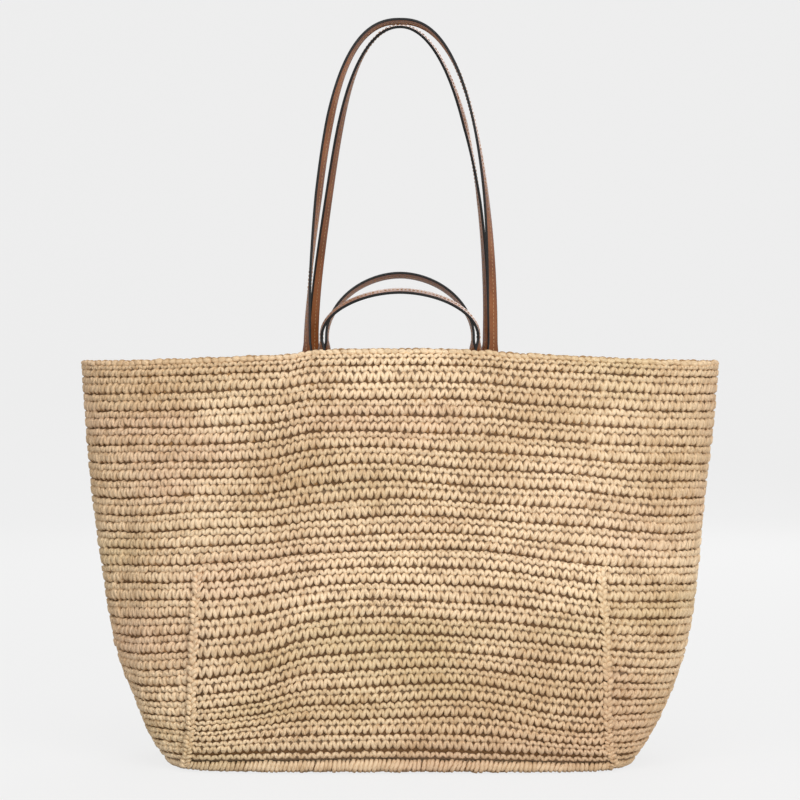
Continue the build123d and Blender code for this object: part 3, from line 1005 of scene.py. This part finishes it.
def seam_stitch():
    """One sewing stitch, a short strand that dips into the leather at both ends."""
    path = [(-1.3, 0, -0.25), (-0.7, 0, 0.12), (0.7, 0, 0.12), (1.3, 0, -0.25)]
    return stitch_mesh("seam_stitch", (path, (0.2, 0.36, 0.36, 0.2), 6, 0.9))


def strap_seam(path, stitch, face):
    """A line of sewing stitches along one face of a strap."""
    count = int((path.length - 2 * SEAM_MARGIN) / STITCH_STEP)
    row = Row(stitch, count, STITCH_STEP, SEAM_SLACK)
    points = row.points
    points[:, 0] += SEAM_MARGIN + STITCH_STEP / 2
    points[:, 1] *= face
    points[:, 2] = face * (STRAP_THICKNESS / 2 + points[:, 2])
    return row.put(path.bend(points))


def make_straps():
    """Four straps, each one piece from tail to tail, with a seam on both faces."""
    stitch = seam_stitch()
    for name, (loop, twist) in STRAPS.items():
        path = StrapPath(*loop, *twist)
        side, leg_x = loop[:2]
        hinge_y = side * tail_depth(leg_x, HINGE_Z)
        strap = join(f"{name}_leather", [strap_mesh(path)], leather)
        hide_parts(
            f"{name}_outer_ply", f"{name}_inner_ply", f"{name}_tape", f"{name}_tails"
        )
        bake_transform(strap)
        seam = join(f"{name}_seam", [strap_seam(path, stitch, face) for face in (1, -1)], thread)
        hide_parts(f"{name}_thread")
        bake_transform(seam)


def make_anchors():
    """Leather and thread of the patches inside the wall."""
    for place in ("front", "back"):
        for side in ("left", "right"):
            patch = frame["nodes"][f"anchor_patch_{place}_{side}"]
            sewn = frame["nodes"][f"anchor_thread_{place}_{side}"]
            for node, finish in ((patch, patch_leather), (sewn, thread)):
                for slot in node.material_slots:
                    slot.material = finish


make_straps()
make_anchors()

# ------------------------------------------------------------------ floor, light and camera
CAMERA_HEIGHT = 0.388
CAMERA_DISTANCE = 2.30
LOOK_DOWN = math.radians(1.27)
LENS = 110.0  # millimetres
SENSOR = 36.0
BACKGROUND = srgb(243, 243, 243)
FLOOR_GLOW = srgb(254, 254, 254)
FLOOR_COLOUR = srgb(186, 186, 186)
FLOOR_HALF = 6.0
FLOOR_LENGTH = 9.0
FLOOR_NEAR = 4.0  # how far it comes to the camera's side of the bag
FLOOR_FAR = 3.0  # where it starts to curve up
FLOOR_CURVE = 1.5
GLOW_SHARE = 0.80  # how much of the seen floor is glow
WORLD_LEVEL = 0.385
# Each lamp: name, place, what it points at, size and watts.
LAMPS = (
    ("left_lamp", (-2.4, -2.2, 1.3), (0, 0, 0.15), 1.8, 24.0),
    ("right_lamp", (1.5, -2.8, 0.7), (0, 0, 0.08), 2.0, 72.0),
    ("top_lamp", (0.2, -1.5, 3.0), (0, 0, 0.2), 2.0, 29.0),
    ("back_lamp", (0.5, 2.5, 1.7), (0, 0, 0.1), 2.0, 34.0),
)


def make_floor():
    """A pale floor that curves up behind the bag."""
    bm = bmesh.new()
    bmesh.ops.create_grid(bm, x_segments=2, y_segments=48, size=1.0)
    for vert in bm.verts:
        run = (vert.co.y + 1) / 2 * FLOOR_LENGTH - FLOOR_NEAR
        rise = max(0.0, run - FLOOR_FAR)
        turn = min(rise, FLOOR_CURVE) / FLOOR_CURVE * math.pi / 2
        vert.co.x *= FLOOR_HALF
        vert.co.y = min(run, FLOOR_FAR) + math.sin(turn)
        vert.co.z = (1 - math.cos(turn)) + max(0.0, rise - FLOOR_CURVE)
    mesh = bpy.data.meshes.new("floor")
    bm.to_mesh(mesh)
    bm.free()
    floor = bpy.data.objects.new("floor", mesh)
    bpy.context.collection.objects.link(floor)
    finish = Finish("floor")
    rays = finish.node("LightPath", output="Is Camera Ray")
    gloss = finish.node("LightPath", output="Is Glossy Ray")
    clear = finish.node("LightPath", output="Is Transmission Ray")
    seen = finish.node("Clamp", None, {"Value": rays + gloss + clear})
    plain = finish.node("BsdfDiffuse", None, {"Color": FLOOR_COLOUR})
    glow = finish.node("Emission", None, {"Color": FLOOR_GLOW, "Strength": 1.0})
    shader = finish.node("MixShader", None, {0: seen * GLOW_SHARE, 1: plain, 2: glow})
    finish.node("OutputMaterial", None, {"Surface": shader})
    floor.data.materials.append(finish.material)
    floor.data.polygons.foreach_set("use_smooth", [True] * len(floor.data.polygons))


def make_lamp(name, place, target, size, watts):
    """A square soft lamp turned to a target."""
    lamp = bpy.data.lights.new(name, "AREA")
    lamp.shape = "SQUARE"
    lamp.size = size
    lamp.energy = watts
    holder = bpy.data.objects.new(name, lamp)
    bpy.context.collection.objects.link(holder)
    holder.location = place
    holder.visible_camera = False
    holder.rotation_euler = (Vector(target) - Vector(place)).to_track_quat("-Z", "Y").to_euler()


def make_world(level):
    """Even light from all around, and the pale background."""
    world = bpy.data.worlds.new("studio")
    bpy.context.scene.world = world
    world.use_nodes = True
    tree = world.node_tree
    tree.nodes.clear()
    rays = tree.nodes.new("ShaderNodeLightPath")
    lit = tree.nodes.new("ShaderNodeBackground")
    lit.inputs["Color"].default_value = (1, 1, 1, 1)
    lit.inputs["Strength"].default_value = level
    seen = tree.nodes.new("ShaderNodeBackground")
    seen.inputs["Color"].default_value = BACKGROUND
    choice = tree.nodes.new("ShaderNodeMixShader")
    shown = tree.nodes.new("ShaderNodeOutputWorld")
    both = tree.nodes.new("ShaderNodeMath")
    both.operation = "ADD"
    all_three = tree.nodes.new("ShaderNodeMath")
    all_three.operation = "ADD"
    tree.links.new(rays.outputs["Is Camera Ray"], both.inputs[0])
    tree.links.new(rays.outputs["Is Glossy Ray"], both.inputs[1])
    tree.links.new(both.outputs[0], all_three.inputs[0])
    tree.links.new(rays.outputs["Is Transmission Ray"], all_three.inputs[1])
    tree.links.new(all_three.outputs[0], choice.inputs[0])
    tree.links.new(lit.outputs[0], choice.inputs[1])
    tree.links.new(seen.outputs[0], choice.inputs[2])
    tree.links.new(choice.outputs[0], shown.inputs["Surface"])


def make_camera():
    """A long lens at the height of the rim."""
    lens = bpy.data.cameras.new("camera")
    lens.lens = LENS
    lens.sensor_width = SENSOR
    camera = bpy.data.objects.new("camera", lens)
    bpy.context.collection.objects.link(camera)
    camera.location = (0.0, -CAMERA_DISTANCE, CAMERA_HEIGHT)
    camera.rotation_euler = (math.pi / 2 - LOOK_DOWN, 0.0, 0.0)
    bpy.context.scene.camera = camera


make_floor()
for lamp_sizes in LAMPS:
    make_lamp(*lamp_sizes)
make_world(WORLD_LEVEL)
make_camera()
bpy.context.scene.view_settings.view_transform = "Standard"
